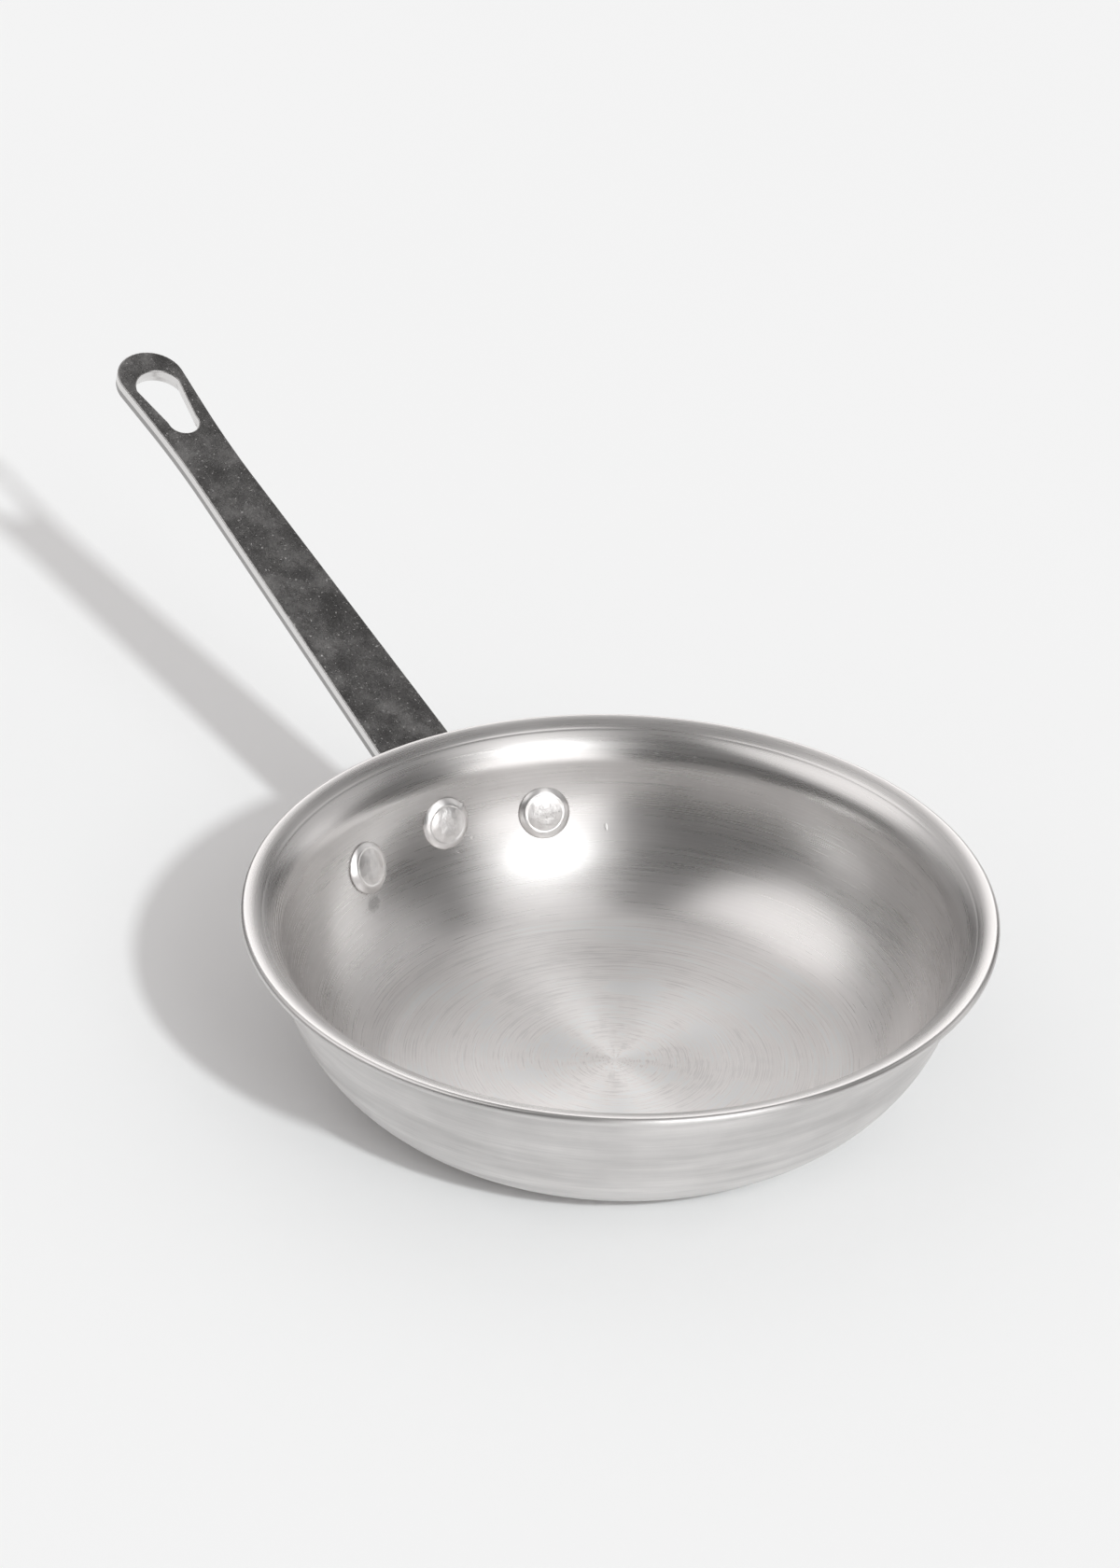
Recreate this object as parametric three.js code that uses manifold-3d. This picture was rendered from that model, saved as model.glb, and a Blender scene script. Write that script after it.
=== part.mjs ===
// A riveted frying pan, in millimetres. +Z is up, the origin is the middle of the base on the
// table, and the handle points along +X.
import * as THREE from 'three';
import { mergeVertices } from 'three/addons/utils/BufferGeometryUtils.js';
import Module from 'manifold-3d';

const wasm = await Module();
wasm.setup();

// Pan body: one spun sheet with a flat floor, a bowed wall and a lip that flares outwards
const rimRadius = 105;
const panHeight = 52.25;
const wallThickness = 2.5;
const baseRadius = 64.6;
const baseRiseAngle = THREE.MathUtils.degToRad(23.4);
const baseBlendRadius = 25;
const lipUndersideRadius = 9.75;
const lipEndSlope = THREE.MathUtils.degToRad(8);

// Handle: one flat strip that bends down under the lip into a winged flange
const stripThickness = 5.2;
const stripEdgeRadius = 0.8;
const handleRise = THREE.MathUtils.degToRad(17.9);
const handleBelowLip = 1.6;
const handleRootWidth = 23.4;
const handleNeckWidth = 16.4;
const handleReach = 168.2;
const handleNeckFromTip = 41.2;
const handleNeckBlend = 16;
const handleEndRadius = 10.1;
const bendRadius = 9;
const bendOverlap = 1.5;
const flangeMargin = 10;
const flangeShoulderRise = 6;

// Hanging hole near the tip: a drop with its wide end outwards
const hangHoleWideRadius = 7;
const hangHoleNarrowRadius = 4.6;
const hangHoleSpan = 14.4;
const hangHoleTipWall = 8.1;

// Rivets: a wide flat head inside the bowl, a shank through both sheets, a tail outside
const rivetBelowRim = 20.8;
const rivetSideDrop = 2.45;
const rivetSpacing = THREE.MathUtils.degToRad(19.3);
const rivetShankRadius = 3.2;
const rivetHeadRadius = 7.4;
const rivetHeadEdge = 0.7;
const rivetHeadHeight = 2.3;
const rivetCrownRadius = 4.9;
const rivetCrownDish = 0.25;
const rivetTailRadius = 5.4;
const rivetTailHeight = 2.6;

// Clearances between neighbours
const seatClearance = 0.3;
const shankClearance = 0.3;

// Fineness of the round faces
const turnSteps = 72;
const rivetSteps = 28;
const curveSteps = 8;
const edgeSteps = 2;
const chordTolerance = 0.08;
const mergeDistance = 1e-4;

const panMaterial = new THREE.MeshStandardMaterial({ color: 0xc8c6c3, roughness: 0.38, metalness: 1 });
const handleMaterial = new THREE.MeshStandardMaterial({ color: 0x9a9896, roughness: 0.22, metalness: 1 });
const rivetMaterial = new THREE.MeshStandardMaterial({ color: 0xdcdad7, roughness: 0.26, metalness: 1 });

// The section of the body is a chain of arcs in (radius, height), each tangent to the next.
// The outer face and the inner face share the arcs' centres, so the sheet keeps its thickness.
const rimEdge = new THREE.Vector2(rimRadius - wallThickness / 2, panHeight - wallThickness / 2);
const lipEndAngle = Math.PI / 2 + lipEndSlope;
const lipCentre = along(rimEdge, lipEndAngle, -(lipUndersideRadius + wallThickness / 2));

// The wall's arc leaves the table plane at the base radius with the rise angle, and touches the lip's arc
const baseCorner = new THREE.Vector2(baseRadius, 0);
const baseNormalAngle = Math.PI / 2 + baseRiseAngle;
const baseToLip = lipCentre.clone().sub(baseCorner);
const lipOverBase = baseToLip.x * Math.cos(baseNormalAngle) + baseToLip.y * Math.sin(baseNormalAngle);
const wallPower = baseToLip.lengthSq() - lipUndersideRadius ** 2;
const wallRadius = wallPower / (2 * (lipOverBase + lipUndersideRadius));
const wallCentre = along(baseCorner, baseNormalAngle, wallRadius);
const wallTopAngle = Math.atan2(lipCentre.y - wallCentre.y, lipCentre.x - wallCentre.x);

// A rounder arc eases the wall into the floor
const blendRadius = Math.min(baseBlendRadius, wallRadius / 2);
const blendRun = Math.sqrt((wallRadius - blendRadius) ** 2 - (wallCentre.y - blendRadius) ** 2);
const blendCentre = new THREE.Vector2(wallCentre.x + blendRun, blendRadius);
const blendEndAngle = Math.atan2(blendCentre.y - wallCentre.y, blendCentre.x - wallCentre.x);

// The handle's top face in the same section plane: a sloping line below the lip and a bend down to the wall
const handleAxis = new THREE.Vector2(Math.cos(handleRise), Math.sin(handleRise));
const handleNormal = new THREE.Vector2(-handleAxis.y, handleAxis.x);
const handleStart = new THREE.Vector2(rimRadius, panHeight - wallThickness - handleBelowLip);
const flangeInnerRadius = wallRadius + seatClearance;
const bendReach = flangeInnerRadius + bendRadius;
const bendOffset = handleStart.clone().addScaledVector(handleNormal, -bendRadius).sub(wallCentre);
const bendAlong = bendOffset.dot(handleAxis);
const bendShift = Math.sqrt(bendAlong ** 2 - bendOffset.lengthSq() + bendReach ** 2) - bendAlong;
const bendCentre = bendOffset.clone().addScaledVector(handleAxis, bendShift).add(wallCentre);
const flangeTopAngle = Math.atan2(bendCentre.y - wallCentre.y, bendCentre.x - wallCentre.x);
const bendEndAngle = Math.PI / 2 + handleRise;
const neckReach = handleReach - handleNeckFromTip;

const rivets = [
  { name: 'rivet_left', turn: rivetSpacing, height: panHeight - rivetBelowRim - rivetSideDrop },
  { name: 'rivet_centre', turn: 0, height: panHeight - rivetBelowRim },
  { name: 'rivet_right', turn: -rivetSpacing, height: panHeight - rivetBelowRim - rivetSideDrop },
];

// The point that lies a distance from another in the direction of an angle
function along(point, angle, distance) {
  return new THREE.Vector2(point.x + distance * Math.cos(angle), point.y + distance * Math.sin(angle));
}

// Points of an arc, close enough that no chord is further from it than the tolerance
function arc(centre, radius, from, to) {
  const step = 2 * Math.acos(1 - Math.min(chordTolerance / radius, 1));
  const count = Math.max(2, Math.ceil(Math.abs(to - from) / step));
  const points = [];
  for (let i = 0; i <= count; i += 1) {
    points.push(along(centre, from + ((to - from) * i) / count, radius));
  }
  return points;
}

// A closed solid from a geometry: its seams are merged and its empty triangles are dropped
function solid(geometry) {
  geometry.deleteAttribute('normal');
  geometry.deleteAttribute('uv');
  const merged = mergeVertices(geometry, mergeDistance);
  const corners = merged.index.array;
  const kept = [];
  for (let i = 0; i < corners.length; i += 3) {
    const [a, b, c] = [corners[i], corners[i + 1], corners[i + 2]];
    if (a !== b && b !== c && c !== a) {
      kept.push(a, b, c);
    }
  }
  const vertProperties = new Float32Array(merged.attributes.position.array);
  return new wasm.Manifold(new wasm.Mesh({ numProp: 3, vertProperties, triVerts: new Uint32Array(kept) }));
}

// A named piece of the pan from a finished solid
function piece(name, body, material) {
  const { vertProperties, triVerts } = body.getMesh();
  const geometry = new THREE.BufferGeometry();
  geometry.setAttribute('position', new THREE.BufferAttribute(vertProperties, 3));
  geometry.setIndex(new THREE.BufferAttribute(triVerts, 1));
  geometry.computeVertexNormals();
  const mesh = new THREE.Mesh(geometry, material);
  mesh.name = name;
  return mesh;
}

// A section in (radius, height) turned about the vertical axis
function turned(section, steps) {
  return new THREE.LatheGeometry(section, steps).rotateX(Math.PI / 2);
}

// Where a rivet's axis crosses a face of the wall's family of arcs, in (radius, height)
function rivetPoint(rivet, faceRadius) {
  const angle = Math.asin((rivet.height - wallCentre.y) / (wallRadius - wallThickness));
  return along(wallCentre, angle, faceRadius);
}

// Moves a shape made along +Y, with its zero on the wall's inner face, to a rivet's axis pointing outwards
function toRivet(geometry, rivet) {
  const inner = rivetPoint(rivet, wallRadius - wallThickness);
  const lean = inner.clone().sub(wallCentre);
  geometry.rotateZ(Math.atan2(lean.y, lean.x) - Math.PI / 2);
  geometry.translate(inner.x, inner.y, 0);
  geometry.rotateX(Math.PI / 2);
  geometry.rotateZ(rivet.turn);
  return geometry;
}

// The hole that a rivet's shank passes through, long enough for the wall and the flange
function rivetHole(rivet) {
  const radius = rivetShankRadius + shankClearance;
  const length = 4 * (wallThickness + seatClearance + stripThickness);
  return solid(toRivet(new THREE.CylinderGeometry(radius, radius, length, rivetSteps), rivet));
}

function drilled(body) {
  return rivets.reduce((left, rivet) => left.subtract(rivetHole(rivet)), body);
}

// The spun body: base, blend, wall and lip up the outside, round the rim edge and back down the inside
function makePanBody() {
  const section = [
    new THREE.Vector2(0, 0),
    ...arc(blendCentre, blendRadius, -Math.PI / 2, blendEndAngle),
    ...arc(wallCentre, wallRadius, blendEndAngle, wallTopAngle).slice(1),
    ...arc(lipCentre, lipUndersideRadius, wallTopAngle + Math.PI, lipEndAngle).slice(1),
    ...arc(rimEdge, wallThickness / 2, lipEndAngle - Math.PI, lipEndAngle).slice(1),
    ...arc(lipCentre, lipUndersideRadius + wallThickness, lipEndAngle, wallTopAngle + Math.PI).slice(1),
    ...arc(wallCentre, wallRadius - wallThickness, wallTopAngle, blendEndAngle).slice(1),
    ...arc(blendCentre, blendRadius - wallThickness, blendEndAngle, -Math.PI / 2).slice(1),
    new THREE.Vector2(0, wallThickness),
  ];
  return drilled(solid(turned(section, turnSteps)));
}

// Half of the strip's width at a distance from the rim along its slope, on the tapered stretch
function halfWidthAt(reach) {
  return (handleRootWidth + ((handleNeckWidth - handleRootWidth) * reach) / neckReach) / 2;
}

// The drop-shaped hole: two arcs joined by their common tangents
function hangHole() {
  const wideAt = handleReach - hangHoleTipWall - hangHoleWideRadius;
  const tangent = Math.acos((hangHoleWideRadius - hangHoleNarrowRadius) / hangHoleSpan);
  const hole = new THREE.Path();
  hole.absarc(wideAt, 0, hangHoleWideRadius, -tangent, tangent, false);
  hole.absarc(wideAt - hangHoleSpan, 0, hangHoleNarrowRadius, tangent, 2 * Math.PI - tangent, false);
  return hole;
}

// The straight part of the strip: tapered to a neck, then swelling into the round end with its hole
function makeStrip() {
  const start = bendShift - bendOverlap;
  const neck = new THREE.Vector2(neckReach, handleNeckWidth / 2);
  const endCentre = new THREE.Vector2(handleReach - handleEndRadius, 0);
  const toNeck = neck.clone().sub(endCentre);
  const endAngle = toNeck.angle() - Math.acos(handleEndRadius / toNeck.length());
  const endTouch = along(endCentre, endAngle, handleEndRadius);
  const swell = endTouch.clone().sub(neck);
  const blend = Math.min(handleNeckBlend, swell.length());
  const swellStart = neck.clone().addScaledVector(swell.normalize(), blend);
  const taperEnd = neckReach - blend;
  const outline = new THREE.Shape();
  outline.moveTo(start, -halfWidthAt(start));
  outline.lineTo(taperEnd, -halfWidthAt(taperEnd));
  outline.quadraticCurveTo(neck.x, -neck.y, swellStart.x, -swellStart.y);
  outline.absarc(endCentre.x, 0, handleEndRadius, -endAngle, endAngle, false);
  outline.lineTo(swellStart.x, swellStart.y);
  outline.quadraticCurveTo(neck.x, neck.y, taperEnd, halfWidthAt(taperEnd));
  outline.lineTo(start, halfWidthAt(start));
  outline.holes.push(hangHole());
  const strip = new THREE.ExtrudeGeometry(outline, {
    depth: stripThickness - 2 * stripEdgeRadius,
    bevelThickness: stripEdgeRadius,
    bevelSize: stripEdgeRadius,
    bevelOffset: -stripEdgeRadius,
    bevelSegments: edgeSteps,
    curveSegments: curveSteps,
  });
  strip.translate(0, 0, stripEdgeRadius - stripThickness);
  strip.rotateY(-handleRise);
  strip.translate(handleStart.x, 0, handleStart.y);
  return solid(strip);
}

// The flange and the bend as a ring that follows the wall outside and turns out under the lip
function makeFlangeRing() {
  const flangeOuterRadius = flangeInnerRadius + stripThickness;
  const section = [
    ...arc(wallCentre, flangeOuterRadius, blendEndAngle, flangeTopAngle),
    ...arc(bendCentre, bendRadius - stripThickness, flangeTopAngle + Math.PI, bendEndAngle).slice(1),
    ...arc(bendCentre, bendRadius, bendEndAngle, flangeTopAngle + Math.PI),
    ...arc(wallCentre, flangeInnerRadius, flangeTopAngle, blendEndAngle).slice(1),
  ];
  section.push(section[0].clone());
  return solid(turned(section, turnSteps));
}

// The flange's outline seen along the handle: a wing round each outer rivet and a neck as wide as the strip
function makeFlangeOutline() {
  const middle = flangeInnerRadius + stripThickness / 2;
  const [side, centre] = rivets;
  const wing = rivetPoint(side, middle);
  const wingSide = wing.x * Math.sin(side.turn);
  const wingTop = wing.y + flangeMargin;
  const bottom = rivetPoint(centre, middle).y - flangeMargin;
  const neck = halfWidthAt(bendShift);
  const shoulder = wingTop + flangeShoulderRise;
  const outline = new THREE.Shape();
  outline.moveTo(-neck, panHeight);
  outline.lineTo(-neck, shoulder);
  outline.quadraticCurveTo(-neck, wingTop, -wingSide, wingTop);
  outline.absarc(-wingSide, wing.y, flangeMargin, Math.PI / 2, (3 * Math.PI) / 2, false);
  outline.quadraticCurveTo(-wingSide / 2, bottom, 0, bottom);
  outline.quadraticCurveTo(wingSide / 2, bottom, wingSide, wing.y - flangeMargin);
  outline.absarc(wingSide, wing.y, flangeMargin, -Math.PI / 2, Math.PI / 2, false);
  outline.quadraticCurveTo(neck, wingTop, neck, shoulder);
  outline.lineTo(neck, panHeight);
  const block = new THREE.ExtrudeGeometry(outline, {
    depth: rimRadius,
    bevelEnabled: false,
    curveSegments: curveSteps,
  });
  block.rotateX(Math.PI / 2);
  block.rotateZ(Math.PI / 2);
  return solid(block);
}

function makeHandle() {
  const flange = makeFlangeRing().intersect(makeFlangeOutline());
  return drilled(flange.add(makeStrip()));
}

// The head inside the bowl, cut to lie on the curved wall
function makeRivetHead(rivet) {
  const shoulder = new THREE.QuadraticBezierCurve(
    new THREE.Vector2(rivetHeadRadius, -rivetHeadEdge),
    new THREE.Vector2(rivetHeadRadius, -rivetHeadHeight),
    new THREE.Vector2(rivetCrownRadius, -rivetHeadHeight),
  );
  const section = [
    new THREE.Vector2(0, -rivetHeadHeight + rivetCrownDish),
    ...shoulder.getPoints(curveSteps).reverse(),
    new THREE.Vector2(rivetHeadRadius, wallThickness),
    new THREE.Vector2(0, wallThickness),
  ];
  const bowl = [
    new THREE.Vector2(0, along(wallCentre, blendEndAngle, wallRadius).y),
    ...arc(wallCentre, wallRadius - wallThickness - seatClearance, blendEndAngle, wallTopAngle),
    new THREE.Vector2(0, panHeight),
  ];
  const head = solid(toRivet(new THREE.LatheGeometry(section, rivetSteps), rivet));
  return head.intersect(solid(turned(bowl, turnSteps)));
}

// The shank starts inside the head, and the tail is domed over the flange outside
function makeRivetShank() {
  const grip = wallThickness + seatClearance + stripThickness + seatClearance;
  const dome = new THREE.QuadraticBezierCurve(
    new THREE.Vector2(rivetTailRadius, grip),
    new THREE.Vector2(rivetTailRadius, grip + rivetTailHeight),
    new THREE.Vector2(0, grip + rivetTailHeight),
  );
  const section = [
    new THREE.Vector2(0, -rivetHeadHeight / 2),
    new THREE.Vector2(rivetShankRadius, -rivetHeadHeight / 2),
    new THREE.Vector2(rivetShankRadius, grip),
    ...dome.getPoints(curveSteps),
  ];
  return new THREE.LatheGeometry(section, rivetSteps);
}

function makeRivet(rivet) {
  return makeRivetHead(rivet).add(solid(toRivet(makeRivetShank(), rivet)));
}

const fryingPan = new THREE.Group();
fryingPan.add(piece('pan_body', makePanBody(), panMaterial));
fryingPan.add(piece('handle', makeHandle(), handleMaterial));
for (const rivet of rivets) {
  fryingPan.add(piece(rivet.name, makeRivet(rivet), rivetMaterial));
}

export default fryingPan;
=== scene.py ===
# %% [markdown]
# # A riveted aluminium frying pan
#
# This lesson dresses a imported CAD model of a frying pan. The pan has three kinds of piece: a spun
# aluminium bowl, a stamped and bent steel handle, and three rivets that hold them together. The CAD
# solids keep the sizes. Here each piece gets a finer mesh, made the way the real one is made, and a
# finish that shows how it was worked: turned marks, plating, press marks and scuffs.

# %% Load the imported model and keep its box
import math

import bmesh
import bpy
from mathutils import Matrix, Vector, noise


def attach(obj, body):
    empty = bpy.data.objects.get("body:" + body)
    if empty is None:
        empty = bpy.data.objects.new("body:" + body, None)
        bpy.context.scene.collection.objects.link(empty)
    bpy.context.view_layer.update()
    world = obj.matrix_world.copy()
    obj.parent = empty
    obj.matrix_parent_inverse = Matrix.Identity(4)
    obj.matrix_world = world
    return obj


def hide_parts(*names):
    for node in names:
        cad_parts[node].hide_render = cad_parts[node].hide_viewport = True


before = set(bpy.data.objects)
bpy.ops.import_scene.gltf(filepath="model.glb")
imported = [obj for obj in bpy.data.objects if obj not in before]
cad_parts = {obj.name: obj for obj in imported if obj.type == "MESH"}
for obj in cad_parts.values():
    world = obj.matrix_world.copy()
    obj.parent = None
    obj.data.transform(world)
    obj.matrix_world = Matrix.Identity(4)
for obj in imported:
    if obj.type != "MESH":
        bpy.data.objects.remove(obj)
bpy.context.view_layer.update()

scene = bpy.context.scene
scene.view_settings.view_transform = "Standard"
print("nodes:", sorted(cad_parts))

# %% [markdown]
# ## The camera
#
# The picture is a product shot through a long lens. A long lens could be copied by eye, but the rim of
# the bowl is a circle of known size, so its ellipse in the picture fixes the camera: how far it tips
# down, how much it rolls, how far away it stands and where the middle of the rim falls in the frame.
# The handle then fixes the direction it looks in.

# %% Place the camera
MM = 0.001
image_width, image_height = 1200, 1680
focal_length_px = 10000.0
sensor_size = 36.0
camera_tilt = math.radians(31.633)
camera_roll = math.radians(1.907)
look_azimuth = math.radians(-33.6)
rim_centre = Vector((0, 0, 51 * MM))
rim_centre_px = (664.6, 978.6)
rim_depth = 2577.6 * MM


def make_camera():
    data = bpy.data.cameras.new("camera")
    data.sensor_width = sensor_size
    data.lens = focal_length_px / image_height * sensor_size
    data.clip_end = 20
    turn = (
        Matrix.Rotation(look_azimuth - math.pi / 2, 4, "Z")
        @ Matrix.Rotation(math.pi / 2 - camera_tilt, 4, "X")
        @ Matrix.Rotation(camera_roll, 4, "Z")
    )
    across = (rim_centre_px[0] - image_width / 2) / focal_length_px * rim_depth
    below = (rim_centre_px[1] - image_height / 2) / focal_length_px * rim_depth
    rim_in_view = Vector((across, -below, -rim_depth))
    camera = bpy.data.objects.new("camera", data)
    camera.matrix_world = Matrix.Translation(rim_centre - turn.to_3x3() @ rim_in_view) @ turn
    scene.collection.objects.link(camera)
    scene.camera = camera
    return camera


camera = make_camera()
print("camera at", [round(v, 3) for v in camera.location], "lens", round(camera.data.lens, 1), "mm")

# %% [markdown]
# ## Light and floor
#
# Metal has almost no look of its own: it shows what stands round it. The shadows on the floor say that
# one fairly small lamp stands behind the camera's right shoulder, about 37 degrees above the table. The
# bowl's inside then works like a wide-angle mirror and shows the rest of the studio: the lamp's tall
# diffuser as a strip of light, a softbox on the left, a pale sweep behind the pan, a paler wall on the
# right, and dark gaps between them. One small lamp alone would leave a hard white spot on the metal, so a
# narrow bulb casts the shadow and a wide, weak glow lights the metal. The studio is a world shader: a
# dark sky with soft-edged cards painted on it, which is lighter to render than a room full of planes.
# Only metal sees the cards, and the floor gets an even dome of light.

# %% Helpers that add shader nodes
def add_node(tree, kind, inputs=None, **settings):
    """One node in a tree, with its settings, and its inputs given as values or as sockets to link."""
    node = tree.nodes.new(kind)
    for name, value in settings.items():
        setattr(node, name, value)
    for name, value in (inputs or {}).items():
        if isinstance(value, bpy.types.NodeSocket):
            tree.links.new(value, node.inputs[name])
        else:
            node.inputs[name].default_value = value
    return node


def math_node(tree, operation, first, second=0.0, third=0.0, clamp=False):
    inputs = {0: first, 1: second, 2: third}
    return add_node(tree, "ShaderNodeMath", inputs, operation=operation, use_clamp=clamp).outputs[0]


def ramp(tree, factor, stops, interpolation="EASE"):
    """A colour ramp from (place, grey or colour) stops."""
    node = add_node(tree, "ShaderNodeValToRGB", {"Fac": factor})
    node.color_ramp.interpolation = interpolation
    for i, (place, value) in enumerate(stops):
        element = node.color_ramp.elements[i] if i < 2 else node.color_ramp.elements.new(place)
        element.position = place
        colour = value if isinstance(value, tuple) else (value, value, value)
        element.color = (*colour, 1)
    return node.outputs["Color"]


print("node helpers ready")

# %% The key lamp
key_direction = Vector((-0.79, 0.057, 0.61)).normalized()
key_tint = (0.96, 1.0, 1.01)
# Each part of the lamp has its strength and its width in degrees. Metal mirrors the wide glow, and sees the
# rest of the lamp as the strip among the studio's cards.
key_parts = {"key_glow": (0.36, 28.0), "key_bulb": (1.64, 4.0)}


def make_key_lamp(name, strength, width):
    data = bpy.data.lights.new(name, "SUN")
    data.energy = strength
    data.color = key_tint
    data.angle = math.radians(width)
    lamp = bpy.data.objects.new(name, data)
    lamp.rotation_euler = key_direction.to_track_quat("Z", "Y").to_euler()
    lamp.visible_glossy = (name == "key_glow")
    scene.collection.objects.link(lamp)
    return lamp


key_lamps = [make_key_lamp(name, *part) for name, part in key_parts.items()]
print("key lamp in", len(key_lamps), "parts")

# %% The cards of the studio
# Each card has the azimuth from +X and the elevation of its middle, its half angle and the width of its
# soft edge, all in degrees, and its brightness.
studio_cards = {
    "pale_wall_on_the_left": (27, 46, 27, 32, 0.58),
    "softbox_on_the_left": (57, 52, 25, 13, 1.35),
    "overhead": (10, 80, 14, 22, 0.26),
    "foot_of_the_sweep": (320, 6, 22, 20, 0.5),
    "sweep_behind_the_pan": (327, 31, 14, 14, 1.9),
    "pale_wall_on_the_right": (262, 30, 19, 20, 0.65),
    "foot_of_the_right_wall": (259, 12, 9, 12, 1.1),
    "low_part_of_the_strip": (175, 9, 20, 20, 2.4),
    "middle_of_the_strip": (177, 37, 20, 22, 1.12),
    "high_part_of_the_strip": (197, 65, 14, 18, 1.15),
}


def card_share(tree, direction, azimuth, elevation, half_angle, soft_edge):
    """How much of a card a direction sees: 1 on the card, 0 well outside it."""
    turn, rise = math.radians(azimuth), math.radians(elevation)
    middle = (math.cos(rise) * math.cos(turn), math.cos(rise) * math.sin(turn), math.sin(rise))
    aim = add_node(tree, "ShaderNodeVectorMath", {0: direction, 1: middle}, operation="DOT_PRODUCT")
    return add_node(tree, "ShaderNodeMapRange", {
        "Value": aim.outputs["Value"],
        "From Min": math.cos(math.radians(half_angle + soft_edge / 2)),
        "From Max": math.cos(math.radians(max(0, half_angle - soft_edge / 2))),
    }, interpolation_type="SMOOTHSTEP").outputs[0]


print(len(studio_cards), "cards")

# %% The studio round the table
studio_tint = (1.015, 1.0, 0.995)
dome_light = (0.632, 0.617, 0.613)
horizon_light = 0.04
zenith_light = 0.14


def make_studio():
    world = bpy.data.worlds.new("studio")
    world.use_nodes = True
    tree = world.node_tree
    tree.nodes.clear()
    direction = add_node(tree, "ShaderNodeTexCoord").outputs["Generated"]
    height = add_node(tree, "ShaderNodeSeparateXYZ", {0: direction}).outputs["Z"]
    light = ramp(tree, height, [(0.0, horizon_light), (0.9, zenith_light)])
    for azimuth, elevation, half_angle, soft_edge, brightness in studio_cards.values():
        share = card_share(tree, direction, azimuth, elevation, half_angle, soft_edge)
        light = add_node(tree, "ShaderNodeMix", {
            "Factor": share,
            "A": light,
            "B": (brightness, brightness, brightness, 1),
        }, data_type="RGBA").outputs["Result"]
    tinted = add_node(tree, "ShaderNodeMix", {"Factor": 1.0, "A": light, "B": (*studio_tint, 1)},
                      data_type="RGBA", blend_type="MULTIPLY").outputs["Result"]
    mirrored = add_node(tree, "ShaderNodeLightPath").outputs["Is Glossy Ray"]
    seen = add_node(tree, "ShaderNodeMix", {"Factor": mirrored, "A": (*dome_light, 1), "B": tinted},
                    data_type="RGBA").outputs["Result"]
    background = add_node(tree, "ShaderNodeBackground", {"Color": seen, "Strength": 1.0})
    add_node(tree, "ShaderNodeOutputWorld", {"Surface": background.outputs[0]})
    scene.world = world
    return world


print("studio is the world", make_studio().name)

# %% The floor
floor_half = 6.0
floor_colour = (0.90, 0.90, 0.90)
floor_fleck = (0.8955, 0.8955, 0.8955)
floor_fleck_scale = 3.0


def make_floor():
    data = bpy.data.meshes.new("floor")
    corners = [(x * floor_half, y * floor_half, 0) for x, y in ((-1, -1), (1, -1), (1, 1), (-1, 1))]
    data.from_pydata(corners, [], [(0, 1, 2, 3)])
    floor = bpy.data.objects.new("floor", data)
    scene.collection.objects.link(floor)
    material = bpy.data.materials.new("matt_floor")
    material.use_nodes = True
    tree = material.node_tree
    shader = tree.nodes["Principled BSDF"]
    shader.inputs["Roughness"].default_value = 1.0
    shader.inputs["Specular IOR Level"].default_value = 0.0
    place = add_node(tree, "ShaderNodeTexCoord").outputs["Object"]
    flecks = add_node(tree, "ShaderNodeTexNoise", {
        "Vector": place, "Scale": floor_fleck_scale, "Detail": 2.0,
    })
    pale = ramp(tree, flecks.outputs["Fac"], [(0.3, floor_colour), (0.7, floor_fleck)])
    tree.links.new(pale, shader.inputs["Base Color"])
    data.materials.append(material)
    return floor


floor = make_floor()
print("floor", 2 * floor_half, "m across")

# %% [markdown]
# ## The bowl
#
# The real bowl is a disc of aluminium pressed against a spinning former, so every section through its
# axis is the same. A sphere cut in half or a scaled cylinder would miss the wall's slow bow and the
# lip's quick flare. The section is drawn instead as a chain of arcs, each one tangent to the next, and
# turned about the axis in fine steps. The inner face uses the same centres as the outer face, so the
# sheet keeps its thickness all the way up.

# %% The section of the bowl, in millimetres
rim_radius = 105.0
pan_height = 52.25
wall_thickness = 2.5
base_radius = 64.6
base_rise = math.radians(23.4)
blend_radius = 25.0
lip_radius = 9.75
lip_end_slope = math.radians(8)


def along(point, angle, distance):
    return Vector((point[0] + distance * math.cos(angle), point[1] + distance * math.sin(angle)))


def arc(centre, radius, start, end, step=math.radians(1.5)):
    """Points of an arc in (radius, height), with both ends."""
    count = max(2, math.ceil(abs(end - start) / step))
    return [along(centre, start + (end - start) * i / count, radius) for i in range(count + 1)]


rim_edge = Vector((rim_radius - wall_thickness / 2, pan_height - wall_thickness / 2))
lip_end = math.pi / 2 + lip_end_slope
lip_centre = along(rim_edge, lip_end, -(lip_radius + wall_thickness / 2))
base_corner = Vector((base_radius, 0))
base_normal = math.pi / 2 + base_rise
base_to_lip = lip_centre - base_corner
lip_over_base = base_to_lip.dot(Vector((math.cos(base_normal), math.sin(base_normal))))
wall_radius = (base_to_lip.length_squared - lip_radius**2) / (2 * (lip_over_base + lip_radius))
wall_centre = along(base_corner, base_normal, wall_radius)
wall_top = math.atan2(*reversed(lip_centre - wall_centre))
blend_run = math.sqrt((wall_radius - blend_radius) ** 2 - (wall_centre.y - blend_radius) ** 2)
blend_centre = Vector((wall_centre.x + blend_run, blend_radius))
blend_end = math.atan2(*reversed(blend_centre - wall_centre))
print("wall radius", round(wall_radius, 2), "mm, flat base", round(2 * blend_centre.x, 1), "mm across")

# %% The whole outline of the section
floor_rings = 28
crease_from_edge = 5.0
crease_depth = 0.07
crease_width = 0.35


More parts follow.
